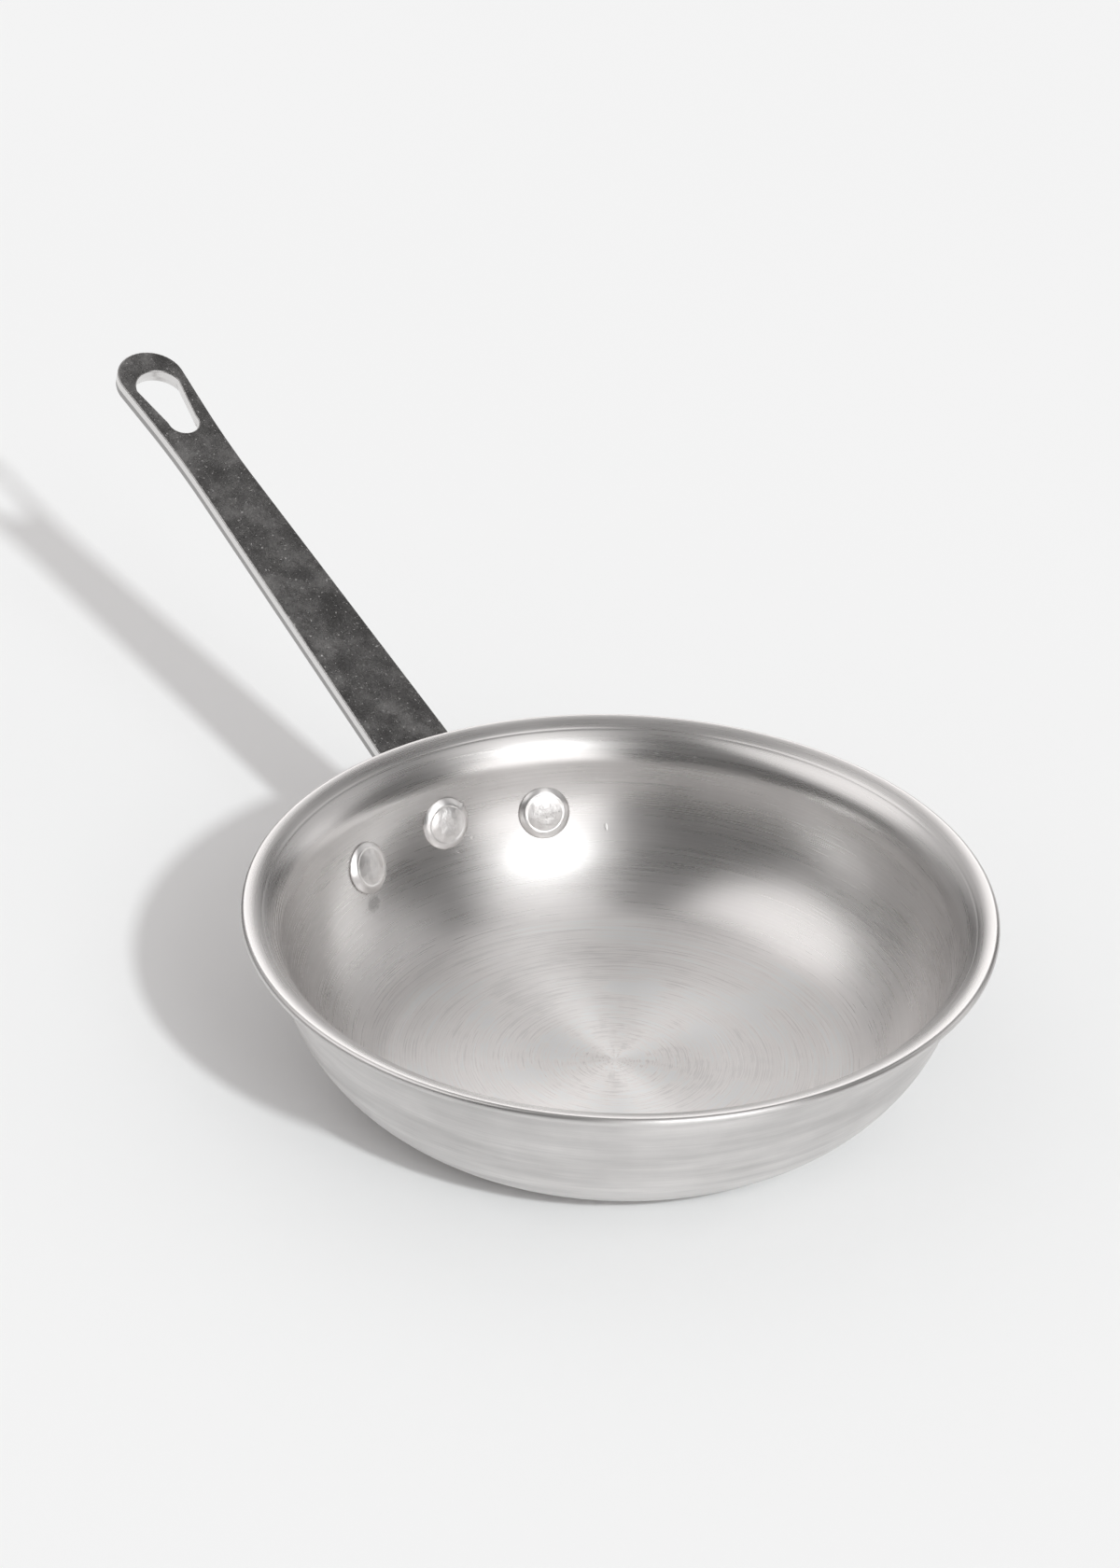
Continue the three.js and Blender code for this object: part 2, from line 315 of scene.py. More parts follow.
def lip_top_face():
    """The lip's upper face from the rim edge inwards, with the shallow tool crease that runs round it."""
    radius = lip_radius + wall_thickness
    points = []
    for point in arc(lip_centre, radius, lip_end, wall_top + math.pi, math.radians(0.75)):
        angle = math.atan2(point.y - lip_centre.y, point.x - lip_centre.x)
        distance = (angle - lip_end) * radius
        dip = crease_depth * math.exp(-(((distance - crease_from_edge) / crease_width) ** 2))
        points.append(along(lip_centre, angle, radius - dip))
    return points


def bowl_section():
    floor_line = [Vector((blend_centre.x * i / floor_rings, 0)) for i in range(floor_rings)]
    outside = floor_line + arc(blend_centre, blend_radius, -math.pi / 2, blend_end)
    outside += arc(wall_centre, wall_radius, blend_end, wall_top)[1:]
    outside += arc(lip_centre, lip_radius, wall_top + math.pi, lip_end)[1:]
    edge = arc(rim_edge, wall_thickness / 2, lip_end - math.pi, lip_end, math.radians(9))[1:]
    inside = lip_top_face()[1:]
    inside += arc(wall_centre, wall_radius - wall_thickness, wall_top, blend_end)[1:]
    inside += arc(blend_centre, blend_radius - wall_thickness, blend_end, -math.pi / 2)[1:]
    inside += [Vector((point.x, wall_thickness)) for point in reversed(floor_line)]
    return outside + edge + inside


print("bowl section of", len(bowl_section()), "points")

# %% Turn the section into the bowl
turn_steps = 288


def turned_mesh(name, section, steps, scale=MM):
    """A closed mesh from a section that starts and ends on the axis."""
    bm = bmesh.new()
    rings = []
    for point in section:
        count = 1 if point.x < 1e-6 else steps
        turns = [2 * math.pi * i / steps for i in range(count)]
        ring = [(point.x * math.cos(t), point.x * math.sin(t), point.y) for t in turns]
        rings.append([bm.verts.new(Vector(corner) * scale) for corner in ring])
    for low, high in zip(rings, rings[1:]):
        for i in range(steps):
            j = (i + 1) % steps
            corners = [low[i % len(low)], low[j % len(low)], high[j % len(high)], high[i % len(high)]]
            bm.faces.new(dict.fromkeys(corners)).smooth = True
    bmesh.ops.recalc_face_normals(bm, faces=bm.faces)
    data = bpy.data.meshes.new(name)
    bm.to_mesh(data)
    bm.free()
    return data


def add_piece(name, data, slot, *nodes):
    """Puts a mesh in the scene as a piece that stands for CAD nodes, and hides those nodes. The slot is not
    used.
    """
    piece = bpy.data.objects.new(name, data)
    scene.collection.objects.link(piece)
    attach(piece, "root")
    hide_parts(*nodes)
    print(name, "has", len(data.vertices), "corners and", len(data.polygons), "faces")
    return piece


bowl = add_piece("bowl", turned_mesh("bowl", bowl_section(), turn_steps), "spun_aluminium", "pan_body")

# %% [markdown]
# ## The handle
#
# The real handle is stamped from a flat bar and then bent: a long tapered grip with a drop-shaped
# hanging hole, and a winged foot that wraps round the bowl. It could be sculpted in place, but it is
# easier to do what the factory does. A flat blank is drawn first, with the rounded top edge, the bright
# sheared band and the duller torn band that a stamping has, and then a bending function carries each
# point of the blank to its place.

# %% Where the handle runs, in millimetres
strip_thickness = 5.2
handle_rise = math.radians(17.9)
handle_below_lip = 1.6
root_width = 23.4
neck_width = 16.4
handle_reach = 168.2
neck_from_tip = 41.2
neck_blend = 16.0
end_radius = 10.1
bend_radius = 9.0
flange_margin = 10.0
flange_shoulder_rise = 6.0
seat_gap = 0.1
hole_wide_radius = 7.0
hole_narrow_radius = 4.6
hole_span = 14.4
hole_tip_wall = 8.1
rivet_below_rim = 20.8
rivet_side_drop = 2.45
rivet_spacing = math.radians(19.3)

handle_axis = Vector((math.cos(handle_rise), math.sin(handle_rise)))
handle_normal = Vector((-handle_axis.y, handle_axis.x))
handle_start = Vector((rim_radius, pan_height - wall_thickness - handle_below_lip))
flange_radius = wall_radius + seat_gap
bend_offset = handle_start - handle_normal * bend_radius - wall_centre
bend_along = bend_offset.dot(handle_axis)
bend_shift = math.sqrt(bend_along**2 - bend_offset.length_squared + (flange_radius + bend_radius) ** 2)
bend_shift -= bend_along
bend_centre = wall_centre + bend_offset + handle_axis * bend_shift
flange_top = math.atan2(*reversed(bend_centre - wall_centre))
bend_angle = flange_top + math.pi - (math.pi / 2 + handle_rise)
bend_length = bend_radius * bend_angle
neck_reach = handle_reach - neck_from_tip
print("bend of", round(math.degrees(bend_angle), 1), "degrees,", round(bend_length, 1), "mm long")

# %% Places along the flat blank
def half_width_at(reach):
    return (root_width + (neck_width - root_width) * reach / neck_reach) / 2


def rivet_heights():
    centre = pan_height - rivet_below_rim
    return {-1: centre - rivet_side_drop, 0: centre, 1: centre - rivet_side_drop}


def rivet_angle(height):
    """The angle on the wall's arc at which a rivet's axis crosses the inner face."""
    return math.asin((height - wall_centre.y) / (wall_radius - wall_thickness))


def blank_reach(angle):
    """How far along the blank a place on the flange lies: negative, past the bend."""
    return bend_shift - bend_length - (flange_top - angle) * flange_radius


def wrap_radius(angle):
    return wall_centre.x + flange_radius * math.cos(angle)


print("rivets", [round(height, 2) for height in rivet_heights().values()], "mm above the base")

# %% The outline of the flat blank
curve_points = 24


def quadratic(start, control, end):
    """Points of a quadratic curve, without its start."""
    steps = [i / curve_points for i in range(1, curve_points + 1)]
    return [start * (1 - t) ** 2 + control * 2 * t * (1 - t) + end * t**2 for t in steps]


def blank_outline():
    """The blank's edge from the middle of the foot, round the tip and back, as (along, across)."""
    side_angle = rivet_angle(rivet_heights()[1])
    wing = Vector((blank_reach(side_angle), wrap_radius(side_angle) * rivet_spacing))
    wing_top = wing.x + flange_margin
    foot = blank_reach(rivet_angle(rivet_heights()[0])) - flange_margin
    neck_half = half_width_at(bend_shift)
    neck = Vector((neck_reach, neck_width / 2))
    end_centre = Vector((handle_reach - end_radius, 0))
    to_neck = neck - end_centre
    end_angle = math.atan2(to_neck.y, to_neck.x) - math.acos(end_radius / to_neck.length)
    touch = along(end_centre, end_angle, end_radius)
    swell = neck + (touch - neck).normalized() * neck_blend
    taper_end = neck_reach - neck_blend
    foot_middle = Vector((foot, 0))
    wing_low = Vector((wing.x - flange_margin, wing.y))
    half = [foot_middle]
    half += quadratic(foot_middle, Vector((foot, wing.y / 2)), wing_low)
    half += arc(wing, flange_margin, math.pi, 0, math.radians(6))[1:]
    shoulder = Vector((wing_top + flange_shoulder_rise, neck_half))
    half += quadratic(Vector((wing_top, wing.y)), Vector((wing_top, neck_half)), shoulder)
    taper_start = Vector((bend_shift, neck_half))
    half += [taper_start, Vector((taper_end, half_width_at(taper_end)))]
    half += quadratic(half[-1], neck, swell)
    half += arc(end_centre, end_radius, end_angle, 0, math.radians(4))
    mirrored = [Vector((point.x, -point.y)) for point in reversed(half[1:-1])]
    return half + mirrored


def hole_outline():
    wide = Vector((handle_reach - hole_tip_wall - hole_wide_radius, 0))
    narrow = wide - Vector((hole_span, 0))
    tangent = math.acos((hole_wide_radius - hole_narrow_radius) / hole_span)
    step = math.radians(5)
    far = arc(wide, hole_wide_radius, -tangent, tangent, step)
    return far + arc(narrow, hole_narrow_radius, tangent, 2 * math.pi - tangent, step)


print("blank", len(blank_outline()), "points, hole", len(hole_outline()), "points")

# %% The stamped edge and the punched hole
# Each step of the stamped edge is (how far in from the outline, how far below the top face).
stamped_edge = [
    (0.42, 0.0), (0.2, 0.06), (0.06, 0.2), (0.0, 0.45),
    (0.0, 2.5), (0.12, 2.6), (0.14, 2.7), (0.18, 4.4), (0.35, 4.85), (0.6, 5.08), (0.95, 5.2),
]
# The punch that makes the hole breaks out below, where the hole is a little wider.
punched_edge = [
    (0.36, 0.0), (0.17, 0.05), (0.05, 0.17), (0.0, 0.4), (0.0, 2.4), (0.12, 2.6), (0.85, 4.7), (1.15, 5.2),
]
clean_depth = 2.5


def edge_normals(outline):
    """Unit normals of a closed outline, pointing into the steel on its right."""
    normals = []
    for before, after in zip(outline[-1:] + outline[:-1], outline[1:] + outline[:1]):
        run = (after - before).normalized()
        normals.append(Vector((run.y, -run.x)))
    return normals


def ring_wall(bm, outline, steps, mark, deepest_mark):
    """The walls under an outline, one ring of corners for each step. Returns the top and bottom rings."""
    normals = edge_normals(outline)
    rings = []
    for inset, depth in steps:
        places = [point + normal * inset for point, normal in zip(outline, normals)]
        rings.append([bm.verts.new((p.x, p.y, -depth)) for p in places])
        for vert in rings[-1]:
            vert[mark] = min(depth, deepest_mark)
    for upper, lower in zip(rings, rings[1:]):
        for i in range(len(outline)):
            j = (i + 1) % len(outline)
            bm.faces.new((upper[i], upper[j], lower[j], lower[i]))
    return rings[0], rings[-1]


def ring_edges(bm, ring):
    return [bm.edges.get((ring[i - 1], ring[i])) for i in range(len(ring))]


print("stamped edge of", len(stamped_edge), "steps, punched edge of", len(punched_edge))

# %% The bends
def bend_blank(co):
    """Carries a point of the flat blank to its place on the pan."""
    reach, across, depth = co
    if reach >= bend_shift:
        point = handle_start + handle_axis * reach
        normal = handle_normal
        wrap = 0.0
    elif reach >= bend_shift - bend_length:
        share = (bend_shift - reach) / bend_length
        angle = math.pi / 2 + handle_rise + share * bend_angle
        normal = Vector((math.cos(angle), math.sin(angle)))
        point = bend_centre + normal * bend_radius
        wrap = share * share * (3 - 2 * share)
    else:
        angle = flange_top - (bend_shift - bend_length - reach) / flange_radius
        normal = -Vector((math.cos(angle), math.sin(angle)))
        point = wall_centre - normal * flange_radius
        wrap = 1.0
    turn = wrap * across / point.x
    out = point + normal * depth
    x = out.x * math.cos(turn)
    y = (1 - wrap) * across + out.x * math.sin(turn)
    return Vector((x, y, out.y)) * MM


print("tip of the bar at", [round(v, 4) for v in bend_blank((handle_reach, 0, 0))])

# %% Stamp the blank and bend it
bend_cut = 1.2
wing_cut = 3.0
flat_face_weight = 80


def cut(bm, point, normal, wanted=None):
    """Cuts the faces of a mesh along a plane, so that it can bend there."""
    faces = [face for face in bm.faces if wanted is None or wanted(face)]
    edges = dict.fromkeys(edge for face in faces for edge in face.edges)
    verts = dict.fromkeys(vert for face in faces for vert in face.verts)
    bmesh.ops.bisect_plane(bm, geom=[*verts, *edges, *faces], dist=1e-5, plane_co=point, plane_no=normal)


def make_handle_mesh():
    bm = bmesh.new()
    mark = bm.verts.layers.float.new("depth_below_top")
    outer = ring_wall(bm, blank_outline(), stamped_edge, mark, strip_thickness)
    hole = ring_wall(bm, hole_outline(), punched_edge, mark, clean_depth)
    tops = ring_edges(bm, outer[0]) + ring_edges(bm, hole[0])
    bottoms = ring_edges(bm, outer[1]) + ring_edges(bm, hole[1])
    bmesh.ops.triangle_fill(bm, edges=tops, use_beauty=True, normal=(0, 0, 1))
    bmesh.ops.triangle_fill(bm, edges=bottoms, use_beauty=True, normal=(0, 0, -1))
    foot = min(v.co.x for v in bm.verts)
    wing = max(v.co.y for v in bm.verts)
    place = bend_shift
    while place > foot:
        cut(bm, (place, 0, 0), (1, 0, 0))
        place -= bend_cut
    place = -wing + wing_cut
    while place < wing:
        cut(bm, (0, place, 0), (0, 1, 0), lambda face: min(v.co.x for v in face.verts) < bend_shift)
        place += wing_cut
    bmesh.ops.remove_doubles(bm, verts=bm.verts, dist=1e-4)
    bmesh.ops.recalc_face_normals(bm, faces=bm.faces)
    for vert in bm.verts:
        vert.co = bend_blank(vert.co)
    for face in bm.faces:
        face.smooth = True
    data = bpy.data.meshes.new("bar_handle")
    bm.to_mesh(data)
    bm.free()
    return data


handle = add_piece("bar_handle", make_handle_mesh(), "plated_steel", "handle")
flat_faces = handle.modifiers.new("flat_faces", "WEIGHTED_NORMAL")
flat_faces.weight = flat_face_weight

# %% [markdown]
# ## The rivets
#
# Each rivet is a soft aluminium pin. A press has struck its head against the inside of the wall, which
# leaves a round shoulder and a low domed crown with a fine crease round it, never quite in the middle. A
# half sphere would look like a bead. A turned section gives the head, and two small moves make it real:
# the strike shifts, tilts and dents the crown, and the skirt settles on the curved wall instead of
# hovering.

# %% The section of a rivet, in millimetres
shank_radius = 3.2
head_radius = 7.4
head_height = 2.3
skirt_height = 0.45
skirt_tuck = 0.3
skirt_bulge = 0.04
crown_radius = 5.4
crown_dome = 0.6
crown_crease = 0.03
shoulder_power = 1.8
tail_radius = 5.4
tail_height = 2.6
crown_rings = 14
shoulder_rings = 12


def rivet_section():
    """From the middle of the crown over the shoulder, down the shank and over the tail."""
    crown = [crown_radius * i / crown_rings for i in range(crown_rings + 1)]
    section = [Vector((r, head_height - crown_dome * (r / crown_radius) ** 2)) for r in crown]
    start = Vector((crown_radius + crown_crease, section[-1].y + crown_crease / 2))
    for i in range(shoulder_rings + 1):
        share = i / shoulder_rings
        fall = (start.y - skirt_height) * share**shoulder_power
        section.append(Vector((start.x + (head_radius - start.x) * share, start.y - fall)))
    section.append(Vector((head_radius - skirt_bulge, skirt_height / 2)))
    section.append(Vector((head_radius - skirt_tuck, 0)))
    grip = wall_thickness + seat_gap + strip_thickness
    section += [Vector((shank_radius, 0)), Vector((shank_radius, -grip)), Vector((tail_radius, -grip))]
    for i in range(1, crown_rings + 1):
        turn = math.pi / 2 * i / crown_rings
        section.append(Vector((tail_radius * math.cos(turn), -grip - tail_height * math.sin(turn))))
    return section


print("rivet section of", len(rivet_section()), "points")

# %% How the press struck each head
# Each head has its crown's shift round the bowl and up the wall, in millimetres, and its slopes the same
# two ways. The middle one also has a burr on its rim.
rivets = {
    "rivet_left": {"side": 1, "shift": (-0.25, -0.3), "slope": (0.04, 0.02), "burr": 0.0},
    "rivet_centre": {"side": 0, "shift": (0.1, 0.15), "slope": (-0.03, -0.05), "burr": 0.5},
    "rivet_right": {"side": -1, "shift": (0.05, -0.1), "slope": (0.0, -0.04), "burr": 0.0},
}
dent_depth = 0.16
dent_size = 2.6
dent_spread = 100
burr_angle = math.radians(212)
burr_width = math.radians(5)


def ease(share):
    share = min(1.0, max(0.0, share))
    return share * share * (3 - 2 * share)


def strike(co, shift, slope, burr):
    """Moves a point of a perfect head to where the press left it."""
    reach = math.hypot(co.x, co.y)
    share = ease((head_radius - reach) / (head_radius - crown_radius)) if co.z > skirt_height else 0.0
    dent = dent_depth * noise.noise(Vector((co.x, co.y, dent_spread * shift[0])) / dent_size)
    struck = Vector((co.x + share * shift[0], co.y + share * shift[1],
                     co.z + share * (slope[0] * co.x + slope[1] * co.y + dent)))
    if burr and co.z >= 0 and reach > crown_radius:
        away = (math.atan2(co.y, co.x) - burr_angle + math.pi) % (2 * math.pi) - math.pi
        swell = 1 + burr / head_radius * math.exp(-((away / burr_width) ** 2)) * (1 - share)
        struck.x *= swell
        struck.y *= swell
    return struck


print(len(rivets), "heads with dents of", dent_depth, "mm")

# %% Set the rivets in the wall
rivet_steps = 72
shank_margin = 0.01


def wall_gap(place, axis, face_radius):
    """How far along an axis, pointing into the bowl, a place has to move to lie on a face of the wall."""
    move = 0.0
    for _ in range(8):
        point = place + axis * move
        section = Vector((math.hypot(point.x, point.y), point.z)) - wall_centre
        move += section.length - face_radius
    return move


def rivet_frame(side):
    """A rivet's place on the inner face and its axes: round the bowl, up the wall and into the bowl."""
    angle = rivet_angle(rivet_heights()[side])
    turn = side * rivet_spacing
    inner = along(wall_centre, angle, wall_radius - wall_thickness)
    out = Vector((math.cos(turn), math.sin(turn), 0))
    inward = -(out * math.cos(angle) + Vector((0, 0, math.sin(angle))))
    around = Vector((0, 0, 1)).cross(out)
    up = inward.cross(around)
    return Vector((out.x * inner.x, out.y * inner.x, inner.y)), around, up, inward


def make_rivet(name, side, shift, slope, burr):
    data = turned_mesh(name, rivet_section(), rivet_steps, 1.0)
    base, around, up, inward = rivet_frame(side)
    for vert in data.vertices:
        co = strike(vert.co, shift, slope, burr)
        place = base + around * co.x + up * co.y
        on_shank = math.hypot(co.x, co.y) < shank_radius + shank_margin
        if co.z >= 0:
            settle = wall_gap(place, inward, wall_radius - wall_thickness)
            co.z += settle * (1 - ease(co.z / head_height))
        elif not on_shank:
            grip = wall_thickness + seat_gap + strip_thickness
            foot = wall_gap(place - inward * grip, inward, flange_radius + strip_thickness)
            co.z += foot * (1 - ease((-co.z - grip) / tail_height))
        vert.co = co * MM
    rivet = add_piece(name + "_pressed", data, "rivet_aluminium", name)
    axes = Matrix((around, up, inward)).transposed().to_4x4()
    rivet.matrix_world = Matrix.Translation(base * MM) @ axes
    return rivet


rivet_pieces = [make_rivet(name, **how) for name, how in rivets.items()]

# %% [markdown]
# ## The finishes
#
# The bowl is polished on the lathe that spun it, so its marks run round the axis. Such marks spread a
# reflection across them and keep it sharp along them, which is what draws a bright fan over the floor.
# A blurred reflection alone would give a round spot. One shader can't be both a fairly clear mirror on
# the wall and a wide fan on the floor, so two are mixed: a sharp one, mostly for the wall, and a wide
# one, mostly for the floor. Their anisotropy gives the fan, and noise that is stretched round the axis
# gives the marks themselves.

# %% Marks that run round the bowl
def round_the_axis(tree, place):
    """The parts of a place that matter on a turned piece: its radius, its height and its direction."""
    axes = add_node(tree, "ShaderNodeSeparateXYZ", {0: place}).outputs
    flat = add_node(tree, "ShaderNodeCombineXYZ", {"X": axes["X"], "Y": axes["Y"]}).outputs[0]
    radius = add_node(tree, "ShaderNodeVectorMath", {0: flat}, operation="LENGTH").outputs["Value"]
    direction = add_node(tree, "ShaderNodeVectorMath", {0: flat}, operation="NORMALIZE").outputs[0]
    return radius, axes["Z"], direction


def turned_noise(tree, place, across, along_turn, octaves):
    """Noise stretched round the Z axis: marks per millimetre across, and marks per radian along."""
    radius, height, direction = round_the_axis(tree, place)
    turn = add_node(tree, "ShaderNodeSeparateXYZ", {0: direction}).outputs
    per_metre = across / MM
    vector = add_node(tree, "ShaderNodeCombineXYZ", {
        "X": math_node(tree, "MULTIPLY", turn["X"], along_turn),
        "Y": math_node(tree, "MULTIPLY", turn["Y"], along_turn),
        "Z": math_node(tree, "MULTIPLY", height, per_metre),
    }).outputs[0]
    stretched = add_node(tree, "ShaderNodeTexNoise", {
        "Vector": vector,
        "W": math_node(tree, "MULTIPLY", radius, per_metre),
        "Scale": 1.0,
        "Detail": octaves,
        "Roughness": 0.6,
    }, noise_dimensions="4D")
    return stretched.outputs["Fac"]


def object_noise(tree, place, scale, octaves=3.0, roughness=0.55):
    """Even noise with so many spots to a metre."""
    inputs = {"Vector": place, "Scale": scale, "Detail": octaves, "Roughness": roughness}
    return add_node(tree, "ShaderNodeTexNoise", inputs).outputs["Fac"]


def spread(tree, value, low, high, new_low, new_high, interpolation="LINEAR"):
    """Maps part of a value's range to a range of a setting."""
    return add_node(tree, "ShaderNodeMapRange", {
        "Value": value, "From Min": low, "From Max": high, "To Min": new_low, "To Max": new_high,
    }, interpolation_type=interpolation).outputs[0]


print("turned noise ready")

# %% The patterns that turning leaves
# Each pattern has its marks per millimetre across and per radian along, and its octaves.
turned_patterns = {
    "hairlines": (2.8, 3.0, 2.0),
    "strokes": (1.5, 1.0, 2.0),
    "smears": (0.07, 2.5, 2.0),
    "rings": (0.9, 0.8, 3.0),
    "bands": (0.18, 1.6, 3.0),
}
wavering = ("hairlines", "strokes")
waver_reach = (0.0003, 0.0003, 0.0)
waver_scale = 22.0
smudge_scale = 45.0
smudge_octaves = 4.0
stroke_share = 0.35


def make_patterns(tree, place):
    """The grey patterns of the turned metal, by name."""
    sway = add_node(tree, "ShaderNodeTexNoise", {"Vector": place, "Scale": waver_scale, "Detail": 1.0})
    swayed = add_node(tree, "ShaderNodeVectorMath", {
        0: sway.outputs["Color"], 1: waver_reach, 2: place,
    }, operation="MULTIPLY_ADD").outputs[0]
    patterns = {}
    for name, (across, along_turn, octaves) in turned_patterns.items():
        start = swayed if name in wavering else place
        patterns[name] = turned_noise(tree, start, across, along_turn, octaves)
    patterns["smudges"] = object_noise(tree, place, smudge_scale, smudge_octaves)
    strokes = math_node(tree, "MULTIPLY", patterns["strokes"], stroke_share)
    hairlines = math_node(tree, "MULTIPLY", patterns["hairlines"], 1 - stroke_share)
    patterns["marks"] = math_node(tree, "ADD", strokes, hairlines)
    return patterns


print(len(turned_patterns), "turned patterns")

# %% Marks of use on the inside of the bowl
# Each mark has its turn from the handle in degrees and its height in millimetres, half its length and half
# its height in millimetres, its slant, and how much light it keeps.
wall_marks = {
    "scuff_under_the_left_rivet": (20.8, 20.1, 4.0, 2.4, -0.15, 0.72),
    "scratch_below_the_lip": (-7.0, 48.3, 11.0, 0.28, 0.02, 1.16),
    "speck_by_the_middle_rivet": (-5.0, 25.8, 0.7, 0.5, 0.0, 1.15),
    "tick_under_the_middle_rivet": (-1.5, 23.2, 1.2, 0.4, 0.6, 1.15),
    "nick_right_of_the_rivets": (-30.8, 24.5, 0.6, 1.1, 0.5, 1.15),
    "first_nick_below_the_lip": (-39.0, 45.7, 0.9, 0.4, 0.0, 1.15),
    "second_nick_below_the_lip": (-46.0, 45.9, 0.8, 0.4, 0.0, 1.15),
}
mark_radius = 92.0
mark_grain = 900.0
mark_raggedness = 1.6
mark_fade = (0.9, 1.5)


def mark_share(tree, run, rise, half_length, half_height, ragged):
    """1 inside the ragged oval of a mark, 0 outside it."""
    length = math_node(tree, "POWER", math_node(tree, "DIVIDE", run, half_length), 2.0)
    height = math_node(tree, "POWER", math_node(tree, "DIVIDE", rise, half_height), 2.0)
    reach = math_node(tree, "ADD", length, height)
    reach = math_node(tree, "MULTIPLY_ADD", ragged, mark_raggedness, reach)
    return spread(tree, reach, *mark_fade, 1.0, 0.0)


def wall_wear(tree, place, inside):
    """How much lighter the marks of use make the wall, and how far they stand out of it."""
    axes = add_node(tree, "ShaderNodeSeparateXYZ", {0: place}).outputs
    turn = math_node(tree, "ARCTAN2", axes["Y"], axes["X"])
    ragged = object_noise(tree, place, mark_grain)
    wear, knocks = 1.0, 0.0
    for at_turn, at_height, half_length, half_height, slant, light in wall_marks.values():
        run = math_node(tree, "MULTIPLY_ADD", turn, mark_radius, -math.radians(at_turn) * mark_radius)
        rise = math_node(tree, "MULTIPLY_ADD", axes["Z"], 1 / MM, -at_height)
        rise = math_node(tree, "MULTIPLY_ADD", run, -slant, rise)
        share = mark_share(tree, run, rise, half_length, half_height, ragged)
        share = math_node(tree, "MULTIPLY", share, inside)
        wear = math_node(tree, "MULTIPLY_ADD", share, light - 1, wear)
        knocks = math_node(tree, "ADD", knocks, math_node(tree, "MULTIPLY", share, ragged))
    return wear, knocks


print(len(wall_marks), "marks of use")

# %% The zones of the bowl and how pale each one is
aluminium_colour = (0.745, 0.730, 0.722)
inward_pull = -0.5
upward_pull = 0.85
facing_edge = 0.1
floor_edge = (3.5, 10.0)
floor_polish = 1.34
# Each pattern has how dark and how pale it makes the metal, and the zone that it lies in.
tones = {
    "marks": (0.94, 1.06, "everywhere"),
    "smears": (0.94, 1.05, "everywhere"),
    "rings": (0.97, 1.03, "floor"),
    "bands": (0.82, 1.08, "outside"),
    "smudges": (0.93, 1.04, "outside"),
}
tone_range = (0.3, 0.7)


def bowl_zones(tree, normal, height, direction):
    """How much a point belongs to each zone. The inside looks up and inwards, the outside the other way."""
    outward = add_node(tree, "ShaderNodeVectorMath", {0: normal, 1: direction}, operation="DOT_PRODUCT")
    upward = add_node(tree, "ShaderNodeSeparateXYZ", {0: normal}).outputs["Z"]
    inward = math_node(tree, "MULTIPLY", outward.outputs["Value"], inward_pull)
    facing = math_node(tree, "MULTIPLY_ADD", upward, upward_pull, inward)
    inside = spread(tree, facing, -facing_edge, facing_edge, 0.0, 1.0, "SMOOTHSTEP")
    low_down = spread(tree, height, floor_edge[0] * MM, floor_edge[1] * MM, 1.0, 0.0, "SMOOTHSTEP")
    return {
        "everywhere": 1.0,
        "inside": inside,
        "outside": math_node(tree, "SUBTRACT", 1.0, inside),
        "floor": math_node(tree, "MULTIPLY", inside, low_down),
    }


def bowl_colour(tree, patterns, zones, wear):
    """The metal's colour, with its polish, its wear and its patterns."""
    shade = math_node(tree, "MULTIPLY", wear, spread(tree, zones["floor"], 0.0, 1.0, 1.0, floor_polish))
    for name, (dark, pale, zone) in tones.items():
        tone = spread(tree, patterns[name], *tone_range, dark - 1, pale - 1)
        tone = math_node(tree, "MULTIPLY_ADD", tone, zones[zone], 1.0)
        shade = math_node(tree, "MULTIPLY", shade, tone)
    return add_node(tree, "ShaderNodeVectorMath", {0: aluminium_colour, "Scale": shade}, operation="SCALE")


print(len(tones), "tones")

# %% One shader of turned metal
hairline_height = 0.002
brush_direction = 0.222
groove_lean = 0.09
groove_run = (2.0, 14.0)


def grooved_normal(tree, face, radius, direction, pan_floor):
    """The floor's normal, leaned towards the axis as the tool's fine grooves lean."""
    grown = spread(tree, radius, groove_run[0] * MM, groove_run[1] * MM, 0.0, -groove_lean, "SMOOTHSTEP")
    grown = math_node(tree, "MULTIPLY", pan_floor, grown)
    lean = add_node(tree, "ShaderNodeVectorMath", {0: direction, "Scale": grown}, operation="SCALE")
    leaning = add_node(tree, "ShaderNodeVectorMath", {0: face, 1: lean.outputs[0]})
    return add_node(tree, "ShaderNodeVectorMath", {0: leaning.outputs[0]}, operation="NORMALIZE").outputs[0]


def turned_shader(tree, shader, colour, rough, normal, bump_height, anisotropy):
    """Metal whose marks run round the axis."""
    bump = add_node(tree, "ShaderNodeBump", {
        "Height": bump_height, "Strength": 1.0, "Distance": hairline_height * MM, "Normal": normal,
    })
    tangent = add_node(tree, "ShaderNodeTangent", direction_type="RADIAL", axis="Z")
    tree.links.new(colour.outputs[0], shader.inputs["Base Color"])
    tree.links.new(rough, shader.inputs["Roughness"])
    tree.links.new(bump.outputs[0], shader.inputs["Normal"])
    tree.links.new(tangent.outputs[0], shader.inputs["Tangent"])
    shader.inputs["Metallic"].default_value = 1.0
    shader.inputs["Anisotropic"].default_value = anisotropy
    shader.inputs["Anisotropic Rotation"].default_value = brush_direction


print("marks turned by", brush_direction, "of a full turn")

# %% Spun aluminium for the bowl
knock_height = 30.0
sharp_roughness = 0.29
sharp_anisotropy = 0.5
wide_roughness = 0.70
wide_anisotropy = 0.72
centre_roughness = 0.92
centre_radius = 30.0
wall_wide_share = 0.2
floor_wide_share = 0.9
outside_extra_roughness = 0.12
mark_range = (0.36, 0.64)
mark_roughness = 0.03
smear_roughness = 0.02


